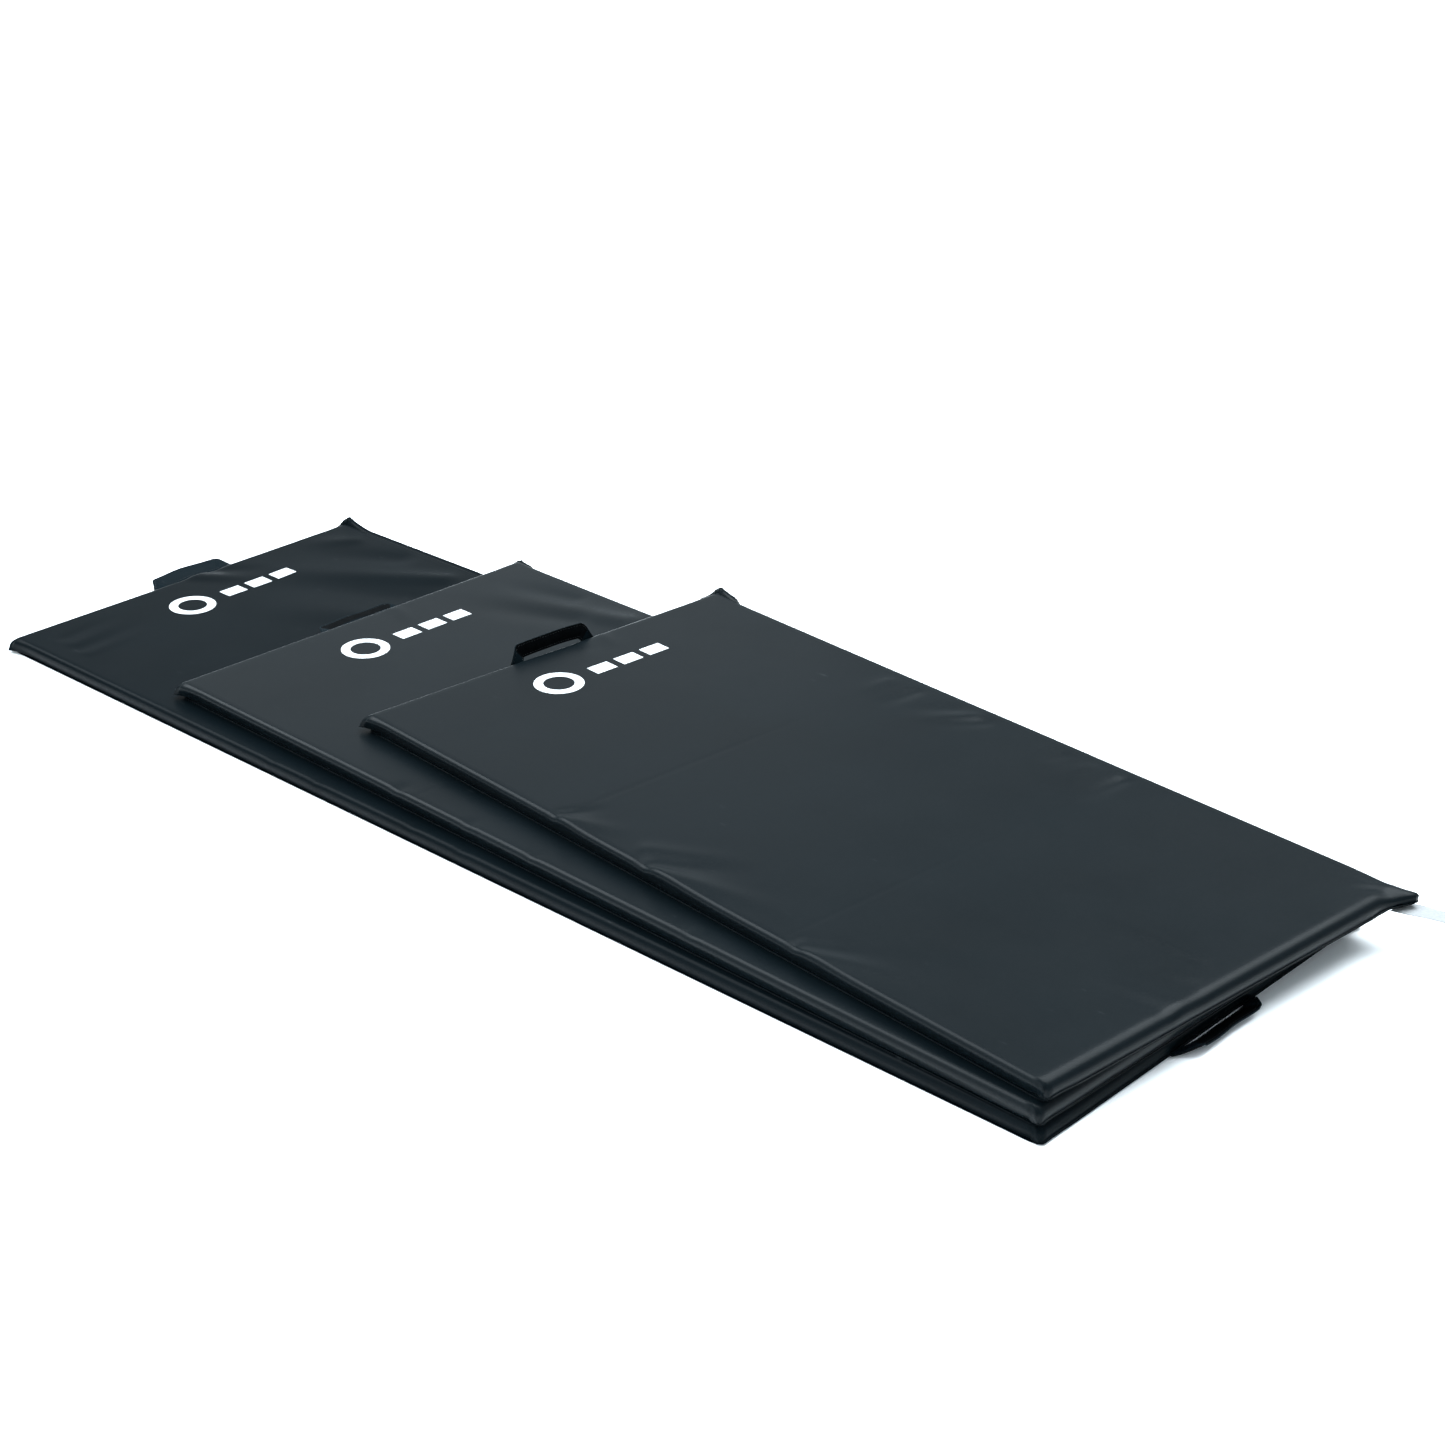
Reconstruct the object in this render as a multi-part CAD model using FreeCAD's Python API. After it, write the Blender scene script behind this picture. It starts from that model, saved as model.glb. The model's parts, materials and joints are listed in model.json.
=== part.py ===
import FreeCAD, Part
import math
import os

from FreeCAD import Base

# Stack of three folding exercise mats, millimetres, +Z up.
#
# Every mat is drawn in its own frame: x runs from the left end (-length) to the right end (0),
# y from the near long side (0) to the far long side (WIDTH), z up from the mat's underside.
# The mats are then laid on each other with their right ends together and their left ends fanned
# out, and the whole stack is moved so that the origin is the middle of its underside.

# ---- driving dimensions -------------------------------------------------------------------
WIDTH = 610.0            # every mat is as wide as the others
THICKNESS = 23.5         # one mat, over its cover
LAYER_PITCH = 24.0       # from one mat's underside to the next one's

# name, length, place of the near right corner in plan, turn about +Z in degrees
MATS = {
    "long": {"length": 1816.0, "corner": (0.0, 0.0), "turn": 0.0, "layer": 0},
    "middle": {"length": 1474.0, "corner": (-1.2, -3.2), "turn": -1.62, "layer": 1},
    "short": {"length": 1174.0, "corner": (-1.4, 7.4), "turn": -5.08, "layer": 2},
}
PANELS = ("right", "centre", "left")   # thirds of a mat, from its right end

SKIN = 0.8               # vinyl cover
SIDE_RADIUS = 5.0        # cover's top edge along the long sides
END_RADIUS = 9.0         # cover's top edge along the short ends
FOAM_GAP = 0.25          # foam to the inside of the cover
FOAM_SPLIT = 1.0         # half the space between two foam panels at a fold line

FOLD_GAP = 0.4           # half the slit between two panels that fold
FOLD_LIFT = 0.3          # fold axis beyond the surface that it folds on

WELT_WIDTH = 2.5         # seam allowance that stands out round the underside
WELT_BOTTOM, WELT_TOP = 0.2, 1.8
EAR_REACH = 8.0          # corner ear beyond the mat's corner, along x and along y
EAR_ROOT = 16.0          # where the ear starts, from the corner

STRAP_THICKNESS = 2.0
STRAP_BAND = 21.0        # width of the webbing
STRAP_BASE_HALF = 82.0   # half the span at the seam
STRAP_TOP_HALF = 60.0    # half the span at the outer edge
STRAP_OUTER_RADIUS, STRAP_INNER_RADIUS = 9.0, 4.0
STRAP_AXIS_OUT = 4.0     # the strap turns about a line this far outside the mat's end
STRAP_AXIS_Z = 3.2
TAB_REACH = 2.6
TAB_BOTTOM, TAB_TOP = 2.0, 4.4

# each carrying strap: mat, end, centre across the mat, how far its outer edge stands from the
# seam, and rest tilt above the horizontal; the right one is pushed in against the mat
STRAPS = {
    "long_left_handle": ("long", "left", 330.0, 38.0, 22.0),
    "long_right_handle": ("long", "right", 312.0, 26.0, 14.0),
    "middle_left_handle": ("middle", "left", 328.0, 38.0, 4.0),
    "short_left_handle": ("short", "left", 314.0, 38.0, 82.0),
}

MARK_THICKNESS = 0.15    # white print on the top, near the left end
MARK_FROM_END = 94.0     # ring's centre, from the mat's left end
MARK_RING_Y = 246.0
MARK_RING_RADII = (34.0, 21.0)
MARK_BAR_LENGTH, MARK_BAR_WIDTH, MARK_BAR_COUNT, MARK_BAR_STEP = 34.0, 24.0, 3, 46.0
MARK_FIRST_BAR_Y = 304.0

LABEL_LENGTH, LABEL_WIDTH, LABEL_THICKNESS = 56.0, 30.0, 0.4
LABEL_Y = 590.0
LABEL_ROOT = (0.6, -0.2)  # x and z of the label's edge in the seam
LABEL_DROOP = 7.0        # degrees below the horizontal

X_AXIS, Y_AXIS, Z_AXIS = Base.Vector(1, 0, 0), Base.Vector(0, 1, 0), Base.Vector(0, 0, 1)


# ---- small helpers ------------------------------------------------------------------------
def block(low, high):
    """Box between two opposite corners."""
    size = [h - l for l, h in zip(low, high)]
    return Part.makeBox(*size, Base.Vector(*low))


def fold_lines(length):
    """x of the two fold lines, from the right end."""
    return -length / 3.0, -2.0 * length / 3.0


def panel_span(length, panel, half_gap):
    """Lowest and highest x of one third, drawn back from the fold lines by half_gap."""
    first, second = fold_lines(length)
    spans = {
        "right": (first + half_gap, 0.0),
        "centre": (second + half_gap, first - half_gap),
        "left": (-length, second - half_gap),
    }
    return spans[panel]


def keep_span(solid, low_x, high_x):
    """The part of a solid between two x planes, open past the mat's own ends."""
    reach = 60.0
    box = block((low_x, -reach, -reach), (high_x, WIDTH + reach, THICKNESS + reach))
    return solid.common(box)


def one_third(solid, length, panel):
    """One folding panel's share of a solid that runs the whole length."""
    low_x, high_x = panel_span(length, panel, FOLD_GAP)
    beyond = 60.0
    if panel == "right":
        high_x += beyond
    if panel == "left":
        low_x -= beyond
    return keep_span(solid, low_x, high_x)


# ---- cover and filling --------------------------------------------------------------------
def pillow(length, inset, bottom, top, side_radius, end_radius):
    """Slab with its top edges rounded: long sides by side_radius, short ends by end_radius."""
    body = block((-length + inset, inset, bottom), (-inset, WIDTH - inset, top))
    corner = Base.Vector
    # profile across the mat, and along it; the slab is what both have in common
    across = rounded_profile(inset, WIDTH - inset, bottom, top, side_radius)
    along = rounded_profile(-length + inset, -inset, bottom, top, end_radius)
    sweep_x = Part.Face(Part.Wire(wire_edges(across, lambda a, z: corner(-length, a, z))))
    sweep_y = Part.Face(Part.Wire(wire_edges(along, lambda a, z: corner(a, 0.0, z))))
    return body.common(sweep_x.extrude(X_AXIS * length)).common(sweep_y.extrude(Y_AXIS * WIDTH))


def rounded_profile(low, high, bottom, top, radius):
    """Points and arc middles of a rectangle whose two upper corners are round."""
    bulge = radius * (1.0 - math.sqrt(0.5))
    return [
        ("line", (low, bottom), (high, bottom)),
        ("line", (high, bottom), (high, top - radius)),
        ("arc", (high, top - radius), (high - bulge, top - bulge), (high - radius, top)),
        ("line", (high - radius, top), (low + radius, top)),
        ("arc", (low + radius, top), (low + bulge, top - bulge), (low, top - radius)),
        ("line", (low, top - radius), (low, bottom)),
    ]


def wire_edges(profile, place):
    """Edges of a profile, with place turning its two coordinates into a point."""
    edges = []
    for kind, *points in profile:
        points = [place(*p) for p in points]
        curve = Part.LineSegment(*points) if kind == "line" else Part.Arc(*points)
        edges.append(curve.toShape())
    return edges


def top_skin(length):
    """Upper half of the cover: top and four sides, open underneath."""
    outside = pillow(length, 0.0, SKIN, THICKNESS, SIDE_RADIUS, END_RADIUS)
    inside = pillow(length, SKIN, SKIN, THICKNESS - SKIN, SIDE_RADIUS - SKIN, END_RADIUS - SKIN)
    return outside.cut(inside)


def base_skin(length):
    """Flat lower half of the cover."""
    return block((-length, 0.0, 0.0), (0.0, WIDTH, SKIN))


def foam_panel(length, panel):
    """One of the three foam slabs in the cover."""
    inset = SKIN + FOAM_GAP
    whole = pillow(length, inset, SKIN, THICKNESS - inset, SIDE_RADIUS - inset, END_RADIUS - inset)
    low_x, high_x = panel_span(length, panel, FOAM_SPLIT)
    return keep_span(whole, low_x, high_x)


def seam_welt(length):
    """Seam allowance round the underside, drawn out to an ear at each corner."""
    near, far = -WELT_WIDTH, WIDTH + WELT_WIDTH
    left, right = -length - WELT_WIDTH, WELT_WIDTH
    outline = [
        (right - EAR_ROOT, near), (EAR_REACH, -EAR_REACH), (right, near + EAR_ROOT),
        (right, far - EAR_ROOT), (EAR_REACH, WIDTH + EAR_REACH), (right - EAR_ROOT, far),
        (left + EAR_ROOT, far), (-length - EAR_REACH, WIDTH + EAR_REACH), (left, far - EAR_ROOT),
        (left, near + EAR_ROOT), (-length - EAR_REACH, -EAR_REACH), (left + EAR_ROOT, near),
    ]
    points = [Base.Vector(x, y, WELT_BOTTOM) for x, y in outline]
    plate = Part.Face(Part.makePolygon(points + points[:1]))
    plate = plate.extrude(Z_AXIS * (WELT_TOP - WELT_BOTTOM))
    return plate.cut(block((-length, 0.0, 0.0), (0.0, WIDTH, THICKNESS)))


# ---- carrying straps ----------------------------------------------------------------------
def strap_axis(length, end, centre):
    """Point on the line that a strap turns about, and which way out is."""
    if end == "left":
        return Base.Vector(-length - STRAP_AXIS_OUT, centre, STRAP_AXIS_Z), -1.0
    return Base.Vector(STRAP_AXIS_OUT, centre, STRAP_AXIS_Z), 1.0


def strap(length, end, centre, reach, tilt):
    """Flat webbing arch whose two feet meet the end seam."""
    origin, out = strap_axis(length, end, centre)
    leg = STRAP_BASE_HALF - STRAP_BAND
    inner_reach = reach - STRAP_BAND
    inner_half = STRAP_TOP_HALF - 0.5 * STRAP_BAND
    outline = [
        (0.0, -STRAP_BASE_HALF), (reach, -STRAP_TOP_HALF),
        (reach, STRAP_TOP_HALF), (0.0, STRAP_BASE_HALF),
        (0.0, leg), (inner_reach, inner_half), (inner_reach, -inner_half), (0.0, -leg),
    ]
    points = [Base.Vector(out * r, y, -0.5 * STRAP_THICKNESS) for r, y in outline]
    web = Part.Face(Part.makePolygon(points + points[:1])).extrude(Z_AXIS * STRAP_THICKNESS)
    web = round_upright_edges(web, out * reach, STRAP_OUTER_RADIUS)
    web = round_upright_edges(web, out * inner_reach, STRAP_INNER_RADIUS)
    web.rotate(Base.Vector(), Y_AXIS, -out * tilt)
    web.translate(origin)
    return web


def round_upright_edges(solid, x, radius):
    """Round the corners of a plate that stand at one x."""
    corners = []
    for edge in solid.Edges:
        box = edge.BoundBox
        if abs(box.XMin - x) < 1e-6 and box.XLength < 1e-6 and box.YLength < 1e-6:
            corners.append(edge)
    return solid.makeFillet(radius, corners)


def strap_tabs(length, end, centre):
    """The two stubs of webbing that the end seam holds, one at each foot of the strap."""
    edge = -length if end == "left" else 0.0
    out = -1.0 if end == "left" else 1.0
    low_x, high_x = sorted((edge, edge + out * TAB_REACH))
    stubs = []
    for side in (-1.0, 1.0):
        middle = centre + side * (STRAP_BASE_HALF - 0.5 * STRAP_BAND)
        stubs.append(block((low_x, middle - 0.5 * STRAP_BAND, TAB_BOTTOM),
                           (high_x, middle + 0.5 * STRAP_BAND, TAB_TOP)))
    return Part.makeCompound(stubs)


# ---- print and label ----------------------------------------------------------------------
def print_mark(length):
    """Plain white ring followed by three plain bars, printed on the top skin."""
    x = -length + MARK_FROM_END
    up = Z_AXIS * MARK_THICKNESS
    outer, inner = MARK_RING_RADII
    centre = Base.Vector(x, MARK_RING_Y, THICKNESS)
    pieces = [Part.makeCylinder(outer, MARK_THICKNESS, centre, Z_AXIS).cut(
        Part.makeCylinder(inner, MARK_THICKNESS, centre, Z_AXIS))]
    for i in range(MARK_BAR_COUNT):
        y = MARK_FIRST_BAR_Y + i * MARK_BAR_STEP
        low = Base.Vector(x - 0.5 * MARK_BAR_WIDTH, y, THICKNESS)
        pieces.append(Part.makePlane(MARK_BAR_WIDTH, MARK_BAR_LENGTH, low).extrude(up))
    return Part.makeCompound(pieces)


def care_label():
    """Blank white label caught in the right end's seam."""
    label = block((0.0, LABEL_Y, -LABEL_THICKNESS), (LABEL_LENGTH, LABEL_Y + LABEL_WIDTH, 0.0))
    label.rotate(Base.Vector(), Y_AXIS, LABEL_DROOP)
    label.translate(Base.Vector(WELT_WIDTH + LABEL_ROOT[0], 0.0, LABEL_ROOT[1]))
    return label


# ---- assembly -----------------------------------------------------------------------------
def mat_nodes(name, length):
    """Every piece of one mat, in the mat's own frame."""
    nodes = {}
    for panel in PANELS:
        nodes[f"{name}_foam_{panel}"] = foam_panel(length, panel)
    whole = {"top_skin": top_skin(length), "base_skin": base_skin(length),
             "seam_welt": seam_welt(length)}
    for piece, solid in whole.items():
        if name != "short":
            nodes[f"{name}_{piece}"] = solid
            continue
        for panel in PANELS:
            nodes[f"{name}_{piece}_{panel}"] = one_third(solid, length, panel)
    for strap_name, (mat, end, centre, reach, tilt) in STRAPS.items():
        if mat == name:
            nodes[strap_name] = strap(length, end, centre, reach, tilt)
            nodes[f"{name}_{end}_handle_tabs"] = strap_tabs(length, end, centre)
    nodes[f"{name}_print_mark"] = print_mark(length)
    if name == "short":
        nodes["short_care_label"] = care_label()
    return nodes


def mat_placement(mat):
    """Where a mat lies in the stack, before the stack is centred."""
    x, y = mat["corner"]
    place = Base.Vector(x, y, mat["layer"] * LAYER_PITCH)
    return FreeCAD.Placement(place, FreeCAD.Rotation(Z_AXIS, mat["turn"]))


def build():
    """All pieces in the stack's frame, and the move that centred them."""
    placed = {}
    for name, mat in MATS.items():
        for node, solid in mat_nodes(name, mat["length"]).items():
            solid.Placement = mat_placement(mat).multiply(solid.Placement)
            placed[node] = solid
    box = Part.makeCompound(list(placed.values())).BoundBox
    centring = Base.Vector(-box.Center.x, -box.Center.y, 0.0)
    for solid in placed.values():
        solid.translate(centring)
    return placed, centring


NODES, CENTRING = build()
os.makedirs("parts", exist_ok=True)
for node_name, shape in NODES.items():
    shape.exportStep(f"parts/{node_name}.step")
    print(f"{node_name}: {len(shape.Solids)} solid(s), {shape.Volume / 1000.0:.1f} cm3, "
          f"valid {shape.isValid()}")
print("centring", CENTRING, "box", Part.makeCompound(list(NODES.values())).BoundBox)
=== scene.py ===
import json
import math

import bpy
import numpy as np
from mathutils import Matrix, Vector


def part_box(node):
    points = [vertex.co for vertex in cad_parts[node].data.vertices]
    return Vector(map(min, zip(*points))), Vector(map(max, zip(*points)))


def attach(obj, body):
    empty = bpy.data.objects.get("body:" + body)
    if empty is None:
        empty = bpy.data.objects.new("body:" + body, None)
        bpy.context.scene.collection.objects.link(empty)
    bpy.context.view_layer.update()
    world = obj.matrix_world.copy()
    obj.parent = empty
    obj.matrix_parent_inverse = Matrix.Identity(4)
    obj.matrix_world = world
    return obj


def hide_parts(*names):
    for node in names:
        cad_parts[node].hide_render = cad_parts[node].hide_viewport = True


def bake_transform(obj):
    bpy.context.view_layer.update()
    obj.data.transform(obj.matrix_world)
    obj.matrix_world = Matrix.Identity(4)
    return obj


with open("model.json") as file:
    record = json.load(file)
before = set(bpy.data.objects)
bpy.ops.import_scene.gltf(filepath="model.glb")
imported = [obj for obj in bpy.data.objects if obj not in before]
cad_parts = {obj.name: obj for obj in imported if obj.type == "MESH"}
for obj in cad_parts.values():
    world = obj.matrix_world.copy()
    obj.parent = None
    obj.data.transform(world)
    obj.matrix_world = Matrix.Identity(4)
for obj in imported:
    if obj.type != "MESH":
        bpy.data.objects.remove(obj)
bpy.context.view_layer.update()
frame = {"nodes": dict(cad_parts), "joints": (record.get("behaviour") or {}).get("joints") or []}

MM = 0.001

# ---- the cover's shape, metres -------------------------------------------------------------------
SIDE_RADIUS = 6.5 * MM        # top edge along the long sides
LEFT_RADIUS = 9.0 * MM        # top edge along the left end
RIGHT_RADIUS = 15.0 * MM      # top edge along the right end
BASE_RADIUS = 0.5 * MM        # bottom edge
BELLY = 1.2 * MM              # how far the sides belly out
SIDE_TUCK = 3.6 * MM          # how far the seam along the long sides is pulled under
END_TUCK = 0.4 * MM           # the same along the short ends
SEAM_HEIGHT = 2.4 * MM        # seam above the underside at the ends
SIDE_SEAM_HEIGHT = 1.15 * MM  # the same along the long sides
SIDE_LIP = -0.7 * MM          # seam allowance along the long sides, turned in
END_LIP = 2.4 * MM            # the same along the short ends
LIP_THICKNESS = 1.1 * MM
BASE_RECESS = 2.2 * MM        # how far the underside's edge lies behind the seam
TOP_STEP = 6.0 * MM           # spacing of the points on the flat
FOLD_STEP = 2.0 * MM          # the same near a fold line
FOLD_START = 6.0 * MM         # cover that bends at a fold: so far to the right of the fold line
FOLD_END = 22.0 * MM          # and so far to the left of it
TOP_DROP = 0.5 * MM           # the flat lies this far under the CAD top, so that folds may rise
UNEVENNESS = 0.25 * MM        # slow rise and fall of the flat
CREASE_DEPTH = 0.07 * MM      # where two foam panels meet
CREASE_WIDTH = 5.0 * MM
LIFT_REACH = 54.0 * MM        # how far along the end the seam stays lifted at an ear
LIFT_PLATEAU = 1.8            # the larger, the longer it stays fully lifted
LIP_RISE = 0.7                # rise of a seam allowance as a share of how far it stands out
PLEAT_REACH = 40.0 * MM
PLEAT_HEIGHT = 0.8 * MM
PINCH_RIDGE = 1.5 * MM        # upright fold at a corner
PINCH_HOLLOW = 0.9 * MM       # at each side of it

# corner ears: end, side, reach beyond the corner, height of the seam there, upward lip, how far
# the ear runs along the end and along the side, the share of the drop at which it is full, how
# far along the side the seam stays lifted, and how far its allowance stands out there
EARS = {
    "long": [("left", "near", 13, 4, 0, 34, 46, 1.0, 54, 0),
             ("left", "far", 9, 19, 6, 16, 60, 1.0, 650, 8),
             ("right", "near", 2, 3, 0, 16, 16, 1.0, 30, 0),
             ("right", "far", 15, 7, 0, 34, 34, 0.5, 54, 0)],
    "middle": [("left", "near", 14, 5, 0, 34, 46, 1.0, 54, 0),
               ("left", "far", 6, 18, 2, 16, 60, 1.0, 64, 4),
               ("right", "near", 2, 3, 0, 16, 16, 1.0, 30, 0),
               ("right", "far", 15, 8, 0, 34, 34, 0.5, 54, 0)],
    "short": [("left", "near", 15, 6, 0, 34, 46, 1.0, 54, 0),
              ("left", "far", 9, 20, 4, 16, 60, 1.0, 80, 6),
              ("right", "near", 1, 4, 0, 16, 16, 1.0, 30, 0),
              ("right", "far", 24, 6, 1, 42, 34, 0.42, 54, 0)],
}

# soft folds in the top: from (x, y) to (x, y) as shares of the mat's length and width, x from
# the left end and y from the near side; then half width and height in mm
FOLDS = {
    "short": [
        ((0.700, 0.004), (0.850, 0.105), 12, 2.8), ((0.690, 0.020), (0.800, 0.165), 15, -2.2),
        ((0.486, 0.004), (0.665, 0.095), 12, 3.0), ((0.470, 0.020), (0.570, 0.150), 15, -2.6),
        ((0.447, 0.050), (0.560, 0.180), 13, 1.4), ((0.338, 0.004), (0.420, 0.075), 10, 2.5),
        ((0.330, 0.020), (0.360, 0.115), 9, -2.0), ((0.666, 0.950), (0.672, 0.797), 12, -2.2),
        ((0.625, 0.940), (0.621, 0.820), 16, 1.2), ((0.583, 0.950), (0.583, 0.885), 12, -1.2),
        ((0.455, 0.950), (0.402, 0.823), 11, 1.6), ((0.474, 0.945), (0.434, 0.850), 12, -1.4),
        ((0.428, 0.950), (0.374, 0.844), 12, -1.2), ((0.366, 0.950), (0.366, 0.820), 10, -1.8),
        ((0.327, 0.945), (0.325, 0.836), 12, 1.1), ((0.985, 0.360), (0.860, 0.315), 14, 1.0),
        ((0.985, 0.320), (0.870, 0.280), 11, -0.7), ((0.985, 0.420), (0.905, 0.385), 12, -0.4),
        ((0.975, 0.452), (0.935, 0.430), 7, 0.6), ((0.955, 0.512), (0.800, 0.505), 8, 0.6),
        ((0.950, 0.486), (0.810, 0.480), 8, -0.5), ((0.012, 0.640), (0.050, 0.612), 9, 0.8),
        ((0.010, 0.560), (0.045, 0.575), 10, -0.8),
        ((0.992, 0.975), (0.962, 0.900), 6, -2.2), ((0.984, 0.988), (0.930, 0.972), 6, -1.8),
    ],
    "middle": [
        ((0.190, 0.925), (0.014, 0.780), 22, 3.8), ((0.150, 0.850), (0.014, 0.700), 26, -2.6),
        ((0.115, 0.930), (0.014, 0.862), 18, -2.2), ((0.480, 0.004), (0.487, 0.040), 10, -1.6),
        ((0.400, 0.004), (0.410, 0.035), 9, -1.4), ((0.310, 0.004), (0.318, 0.045), 10, -1.6),
        ((0.012, 0.600), (0.060, 0.560), 10, 0.8), ((0.660, 0.004), (0.667, 0.030), 9, -1.0),
    ],
    "long": [
        ((0.160, 0.925), (0.006, 0.600), 22, 4.2), ((0.175, 0.800), (0.012, 0.540), 30, -2.8),
        ((0.165, 0.640), (0.080, 0.480), 32, 2.2), ((0.098, 0.935), (0.006, 0.755), 24, -2.8),
        ((0.038, 0.940), (0.004, 0.815), 16, 2.2), ((0.004, 0.520), (0.060, 0.650), 13, 2.2),
        ((0.002, 0.575), (0.045, 0.690), 12, -2.0), ((0.070, 0.070), (0.062, 0.270), 9, 0.7),
        ((0.058, 0.070), (0.050, 0.280), 9, -0.7), ((0.046, 0.075), (0.036, 0.280), 9, 0.7),
        ((0.032, 0.080), (0.022, 0.270), 9, -0.7), ((0.520, 0.004), (0.524, 0.035), 10, -1.4),
        ((0.470, 0.004), (0.474, 0.030), 9, -1.2), ((0.370, 0.004), (0.375, 0.035), 10, -1.5),
        ((0.320, 0.004), (0.325, 0.035), 9, -1.3),
    ],
}


# ---- where things are ----------------------------------------------------------------------------
def joint(name):
    """The record's joint of that name."""
    return next(j for j in frame["joints"] if j["name"] == name)


def node_points(prefix):
    """Vertices of every CAD node whose name starts with prefix."""
    points = [v.co for name, node in sorted(frame["nodes"].items())
              if name.startswith(prefix) for v in node.data.vertices]
    return np.array(points)


class Mat:
    """A mat's own frame: x from its left end, y from its near side, z from its underside."""

    def __init__(self, name):
        across = joint(f"{name}_left_strap_swing")["axis"]
        points = np.vstack([node_points(f"{name}_base_skin"), node_points(f"{name}_top_skin")])
        self.name = name
        self.y_axis = np.array(across[:2])
        self.x_axis = np.array([across[1], -across[0]])
        x, y, z = points[:, :2] @ self.x_axis, points[:, :2] @ self.y_axis, points[:, 2]
        self.corner = x.min() * self.x_axis + y.min() * self.y_axis
        self.base = z.min()
        self.length, self.width, self.thickness = np.ptp(x), np.ptp(y), np.ptp(z)
        self.folds = (self.length / 3.0, 2.0 * self.length / 3.0)

    def world(self, x, y, z):
        """Points of the mat's frame in the row frame, as an array with three columns."""
        x, y, z = np.broadcast_arrays(x, y, z)
        plan = self.corner + x[..., None] * self.x_axis + y[..., None] * self.y_axis
        return np.concatenate([plan, (self.base + z)[..., None]], axis=-1)

    def local(self, point):
        """A point of the row frame in the mat's frame."""
        plan = np.array(point[:2]) - self.corner
        return plan @ self.x_axis, plan @ self.y_axis, point[2] - self.base


MATS = {name: Mat(name) for name in ("long", "middle", "short")}


# ---- cover surface -------------------------------------------------------------------------------
def smooth(t):
    """Smooth step from 0 to 1."""
    t = np.clip(t, 0.0, 1.0)
    return t * t * (3.0 - 2.0 * t)


def soft_fold(x, y, start, end, half_width, height):
    """Height of a fold in the cover that is strongest at its start and dies out at its end."""
    run = np.subtract(end, start)
    length = np.hypot(*run)
    along = ((x - start[0]) * run[0] + (y - start[1]) * run[1]) / length
    off = ((y - start[1]) * run[0] - (x - start[0]) * run[1]) / length
    widening = half_width * (1.0 + 0.5 * np.clip(along / length, 0.0, 1.0))
    fade = smooth(1.0 - along / length) * smooth(1.0 + along / (1.5 * half_width))
    return height * fade * np.exp(-(off / widening) ** 2)


def ripple(x, y):
    """Slow unevenness of foam and cover, about -1 to 1."""
    waves = ((7.1, 3.3, 0.4), (3.7, -8.3, 1.9), (12.9, 6.1, 3.1), (-9.7, 15.1, 5.2), (21.0, 11.0, 0.9))
    total = sum(np.sin(kx * x + ky * y + shift) for kx, ky, shift in waves)
    return total / len(waves)


def top_height(mat, x, y):
    """Height of the mat's top above its underside."""
    z = mat.thickness - TOP_DROP + UNEVENNESS * ripple(x, y)
    for start, end, half_width, height in FOLDS[mat.name]:
        z = z + soft_fold(x, y, (start[0] * mat.length, start[1] * mat.width),
                          (end[0] * mat.length, end[1] * mat.width), half_width * MM, height * MM)
    for fold in mat.folds:
        crease = np.exp(-((x - fold) / CREASE_WIDTH) ** 2) * (1.2 + np.sin(9.0 * y + fold))
        z = z - CREASE_DEPTH * crease
    return z


def spread(length, refine):
    """Coordinates over a flat length, closer together near the places in refine."""
    stops = [0.0]
    while stops[-1] < length:
        close = any(abs(stops[-1] - r) < FOLD_END + TOP_STEP for r in refine)
        stops.append(stops[-1] + (FOLD_STEP if close else TOP_STEP))
    return np.array(stops) * length / stops[-1]


# rings of points from the edge of the flat, on the top or the underside, to the seam's lip: share
# of the edge's radius that a ring stands out, share of it that it has dropped, share of the
# straight side, share of the lip
ARC_STEPS, WALL_STEPS = 7, 6
RINGS = [(math.sin(a), 1.0 - math.cos(a), 0.0, 0.0)
         for a in np.linspace(0.0, math.pi / 2, ARC_STEPS + 1)[1:]]
RINGS += [(1.0, 1.0, s, 0.0) for s in np.linspace(0.0, 1.0, WALL_STEPS + 1)[1:]]
RINGS += [(1.0, 1.0, 1.0, 0.55), (1.0, 1.0, 1.0, 1.0)]
RING_TABLE = np.array([(0.0, 0.0, 0.0, 0.0)] + RINGS)


def ring_numbers(count):
    """Rings beyond the flat along a row of points: below zero before its count, above it after."""
    rings = len(RINGS)
    return np.concatenate([-np.arange(rings, 0, -1), np.zeros(count), np.arange(1, rings + 1)])


def ear_lean(along_end, along_side):
    """Direction of an ear's tip, turned from the mat's length towards the side it runs along."""
    return 0.5 * math.pi * along_side / (along_end + along_side)


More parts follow.
